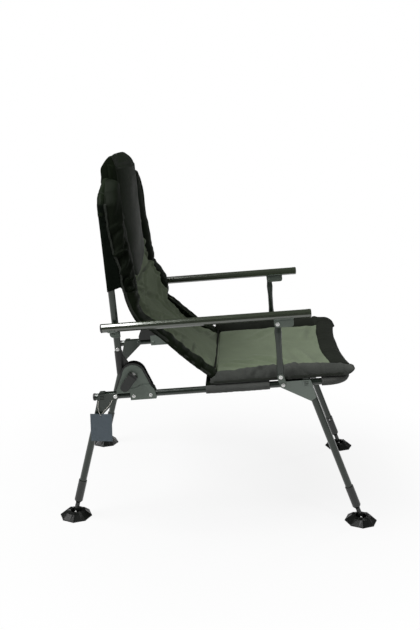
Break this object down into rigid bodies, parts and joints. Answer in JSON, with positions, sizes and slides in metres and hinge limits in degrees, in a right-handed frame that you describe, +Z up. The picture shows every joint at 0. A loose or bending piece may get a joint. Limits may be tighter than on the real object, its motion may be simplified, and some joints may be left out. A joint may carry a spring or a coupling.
{
  "type": "folding fishing chair",
  "caption": "Folding angler's chair with padded seat and reclining back, linked tubular arm rests, fold-under telescopic legs and swivelling mud feet.",
  "frame": {"origin": "on the floor, under the middle of the chair's footprint, leaving out the swing tag and its string", "axes": "+Z up, the chair faces -Y, +X is the sitter's left"},
  "size_m": [0.657, 0.9669, 1.0824],
  "materials": {
    "frame_paint": "satin powder coat",
    "arm_paint": "glossy powder coat",
    "bracket_paint": "satin powder coat",
    "black_plastic": "matte",
    "foot_plastic": "glossy",
    "bright_steel": "bright",
    "black_cloth": "woven, matt",
    "green_cloth": "suede-like, matt",
    "tag_card": "coated card",
    "tag_string": "twisted thread"
  },
  "bodies": {
    "seat": {"seat_frame": "frame_paint", "rail_cap_right": "black_plastic", "rail_cap_left": "black_plastic", "recliner_base_right": "bracket_paint", "recliner_base_left": "bracket_paint", "recliner_housing_right": "black_plastic", "recliner_housing_left": "black_plastic", "recliner_cover_right": "bracket_paint", "recliner_cover_left": "bracket_paint", "recliner_bolt_right": "bright_steel", "recliner_bolt_left": "bright_steel", "post_bracket_right": "bracket_paint", "post_bracket_left": "bracket_paint", "seat_sling": "black_cloth", "seat_pad": "green_cloth", "lower_back_pad": "green_cloth"},
    "back": {"back_frame": "frame_paint", "recliner_arm_right": "black_plastic", "recliner_arm_left": "black_plastic", "arm_lug_right": "bracket_paint", "arm_lug_left": "bracket_paint", "back_sling": "black_cloth", "back_pad": "black_cloth", "head_hood": "black_cloth"},
    "post_right_body": {"arm_post_right": "frame_paint"},
    "arm_right_body": {"arm_tube_right": "arm_paint", "arm_cap_front_right": "arm_paint", "arm_cap_rear_right": "black_plastic", "arm_bracket_front_right": "bracket_paint", "arm_bracket_rear_right": "bracket_paint"},
    "lever_right_body": {"cam_lever_right": "black_plastic"},
    "post_left_body": {"arm_post_left": "frame_paint"},
    "arm_left_body": {"arm_tube_left": "arm_paint", "arm_cap_front_left": "arm_paint", "arm_cap_rear_left": "black_plastic", "arm_bracket_front_left": "bracket_paint", "arm_bracket_rear_left": "bracket_paint"},
    "lever_left_body": {"cam_lever_left": "black_plastic"},
    "front_right_leg": {"leg_front_right": "frame_paint"},
    "front_right_extension": {"inner_tube_front_right": "frame_paint", "leg_socket_front_right": "bracket_paint"},
    "front_right_foot": {"mud_foot_front_right": "foot_plastic"},
    "front_right_button": {"snap_button_front_right": "bright_steel"},
    "front_left_leg": {"leg_front_left": "frame_paint"},
    "front_left_extension": {"inner_tube_front_left": "frame_paint", "leg_socket_front_left": "bracket_paint"},
    "front_left_foot": {"mud_foot_front_left": "foot_plastic"},
    "front_left_button": {"snap_button_front_left": "bright_steel"},
    "rear_right_leg": {"leg_rear_right": "frame_paint", "swing_tag": "tag_card", "tag_string": "tag_string"},
    "rear_right_extension": {"inner_tube_rear_right": "frame_paint", "leg_socket_rear_right": "bracket_paint"},
    "rear_right_foot": {"mud_foot_rear_right": "foot_plastic"},
    "rear_right_button": {"snap_button_rear_right": "bright_steel"},
    "rear_left_leg": {"leg_rear_left": "frame_paint"},
    "rear_left_extension": {"inner_tube_rear_left": "frame_paint", "leg_socket_rear_left": "bracket_paint"},
    "rear_left_foot": {"mud_foot_rear_left": "foot_plastic"},
    "rear_left_button": {"snap_button_rear_left": "bright_steel"}
  },
  "joints": [
    {"name": "back_recline", "type": "hinge", "parent": "seat", "child": "back", "pos_m": [0, 0.246, 0.46], "axis": [1, 0, 0], "range_deg": [-20, 75], "deforming": ["lower_back_pad"]},
    {"name": "post_right_swing", "type": "hinge", "parent": "seat", "child": "post_right_body", "pos_m": [-0.308, -0.182, 0.466], "axis": [1, 0, 0], "range_deg": [-19, 69]},
    {"name": "arm_right_swing", "type": "hinge", "parent": "post_right_body", "child": "arm_right_body", "pos_m": [-0.308, -0.169, 0.6238], "axis": [1, 0, 0], "range_deg": [-62.5, 17]},
    {"name": "lever_right_swing", "type": "hinge", "parent": "seat", "child": "lever_right_body", "pos_m": [-0.3062, 0.246, 0.46], "axis": [0, 0.83, 0.5577], "range_deg": [0, 90]},
    {"name": "post_left_swing", "type": "hinge", "parent": "seat", "child": "post_left_body", "pos_m": [0.308, -0.182, 0.466], "axis": [1, 0, 0], "range_deg": [-19, 69]},
    {"name": "arm_left_swing", "type": "hinge", "parent": "post_left_body", "child": "arm_left_body", "pos_m": [0.308, -0.169, 0.6238], "axis": [1, 0, 0], "range_deg": [-62.5, 17]},
    {"name": "lever_left_swing", "type": "hinge", "parent": "seat", "child": "lever_left_body", "pos_m": [0.3062, 0.246, 0.46], "axis": [0, -0.83, -0.5577], "range_deg": [0, 90]},
    {"name": "front_right_leg_fold", "type": "hinge", "parent": "seat", "child": "front_right_leg", "pos_m": [-0.28, -0.19104, 0.43605], "axis": [1, 0, 0], "range_deg": [0, 78]},
    {"name": "front_right_leg_slide", "type": "slide", "parent": "front_right_leg", "child": "front_right_extension", "axis": [0, 0.3785, 0.9256], "range_m": [-0.1, 0]},
    {"name": "front_right_foot_swivel", "type": "hinge", "parent": "front_right_extension", "child": "front_right_foot", "pos_m": [-0.28, -0.43754, 0.015], "axis": [1, 0, 0], "range_deg": [-25, 25]},
    {"name": "front_right_button_press", "type": "slide", "parent": "front_right_leg", "child": "front_right_button", "axis": [-1, 0, 0], "range_m": [0, 0.003], "stiffness_N_per_m": 900},
    {"name": "front_left_leg_fold", "type": "hinge", "parent": "seat", "child": "front_left_leg", "pos_m": [0.28, -0.19104, 0.43605], "axis": [1, 0, 0], "range_deg": [0, 78]},
    {"name": "front_left_leg_slide", "type": "slide", "parent": "front_left_leg", "child": "front_left_extension", "axis": [0, 0.3785, 0.9256], "range_m": [-0.1, 0]},
    {"name": "front_left_foot_swivel", "type": "hinge", "parent": "front_left_extension", "child": "front_left_foot", "pos_m": [0.28, -0.43754, 0.015], "axis": [1, 0, 0], "range_deg": [-25, 25]},
    {"name": "front_left_button_press", "type": "slide", "parent": "front_left_leg", "child": "front_left_button", "axis": [1, 0, 0], "range_m": [0, 0.003], "stiffness_N_per_m": 900},
    {"name": "rear_right_leg_fold", "type": "hinge", "parent": "seat", "child": "rear_right_leg", "pos_m": [-0.28, 0.29981, 0.39224], "axis": [-1, 0, 0], "range_deg": [0, 105]},
    {"name": "rear_right_leg_slide", "type": "slide", "parent": "rear_right_leg", "child": "rear_right_extension", "axis": [0, -0.2362, 0.9717], "range_m": [-0.1, 0]},
    {"name": "rear_right_foot_swivel", "type": "hinge", "parent": "rear_right_extension", "child": "rear_right_foot", "pos_m": [-0.28, 0.43242, 0.015], "axis": [-1, 0, 0], "range_deg": [-25, 25]},
    {"name": "rear_right_button_press", "type": "slide", "parent": "rear_right_leg", "child": "rear_right_button", "axis": [-1, 0, 0], "range_m": [0, 0.003], "stiffness_N_per_m": 900},
    {"name": "rear_left_leg_fold", "type": "hinge", "parent": "seat", "child": "rear_left_leg", "pos_m": [0.28, 0.29981, 0.39224], "axis": [-1, 0, 0], "range_deg": [0, 105]},
    {"name": "rear_left_leg_slide", "type": "slide", "parent": "rear_left_leg", "child": "rear_left_extension", "axis": [0, -0.2362, 0.9717], "range_m": [-0.1, 0]},
    {"name": "rear_left_foot_swivel", "type": "hinge", "parent": "rear_left_extension", "child": "rear_left_foot", "pos_m": [0.28, 0.43242, 0.015], "axis": [-1, 0, 0], "range_deg": [-25, 25]},
    {"name": "rear_left_button_press", "type": "slide", "parent": "rear_left_leg", "child": "rear_left_button", "axis": [1, 0, 0], "range_m": [0, 0.003], "stiffness_N_per_m": 900}
  ],
  "couplings": [
    {"joint": "post_right_swing", "follows": "back_recline", "ratio": 0.9},
    {"joint": "arm_right_swing", "follows": "back_recline", "ratio": -0.82},
    {"joint": "post_left_swing", "follows": "back_recline", "ratio": 0.9},
    {"joint": "arm_left_swing", "follows": "back_recline", "ratio": -0.82}
  ]
}
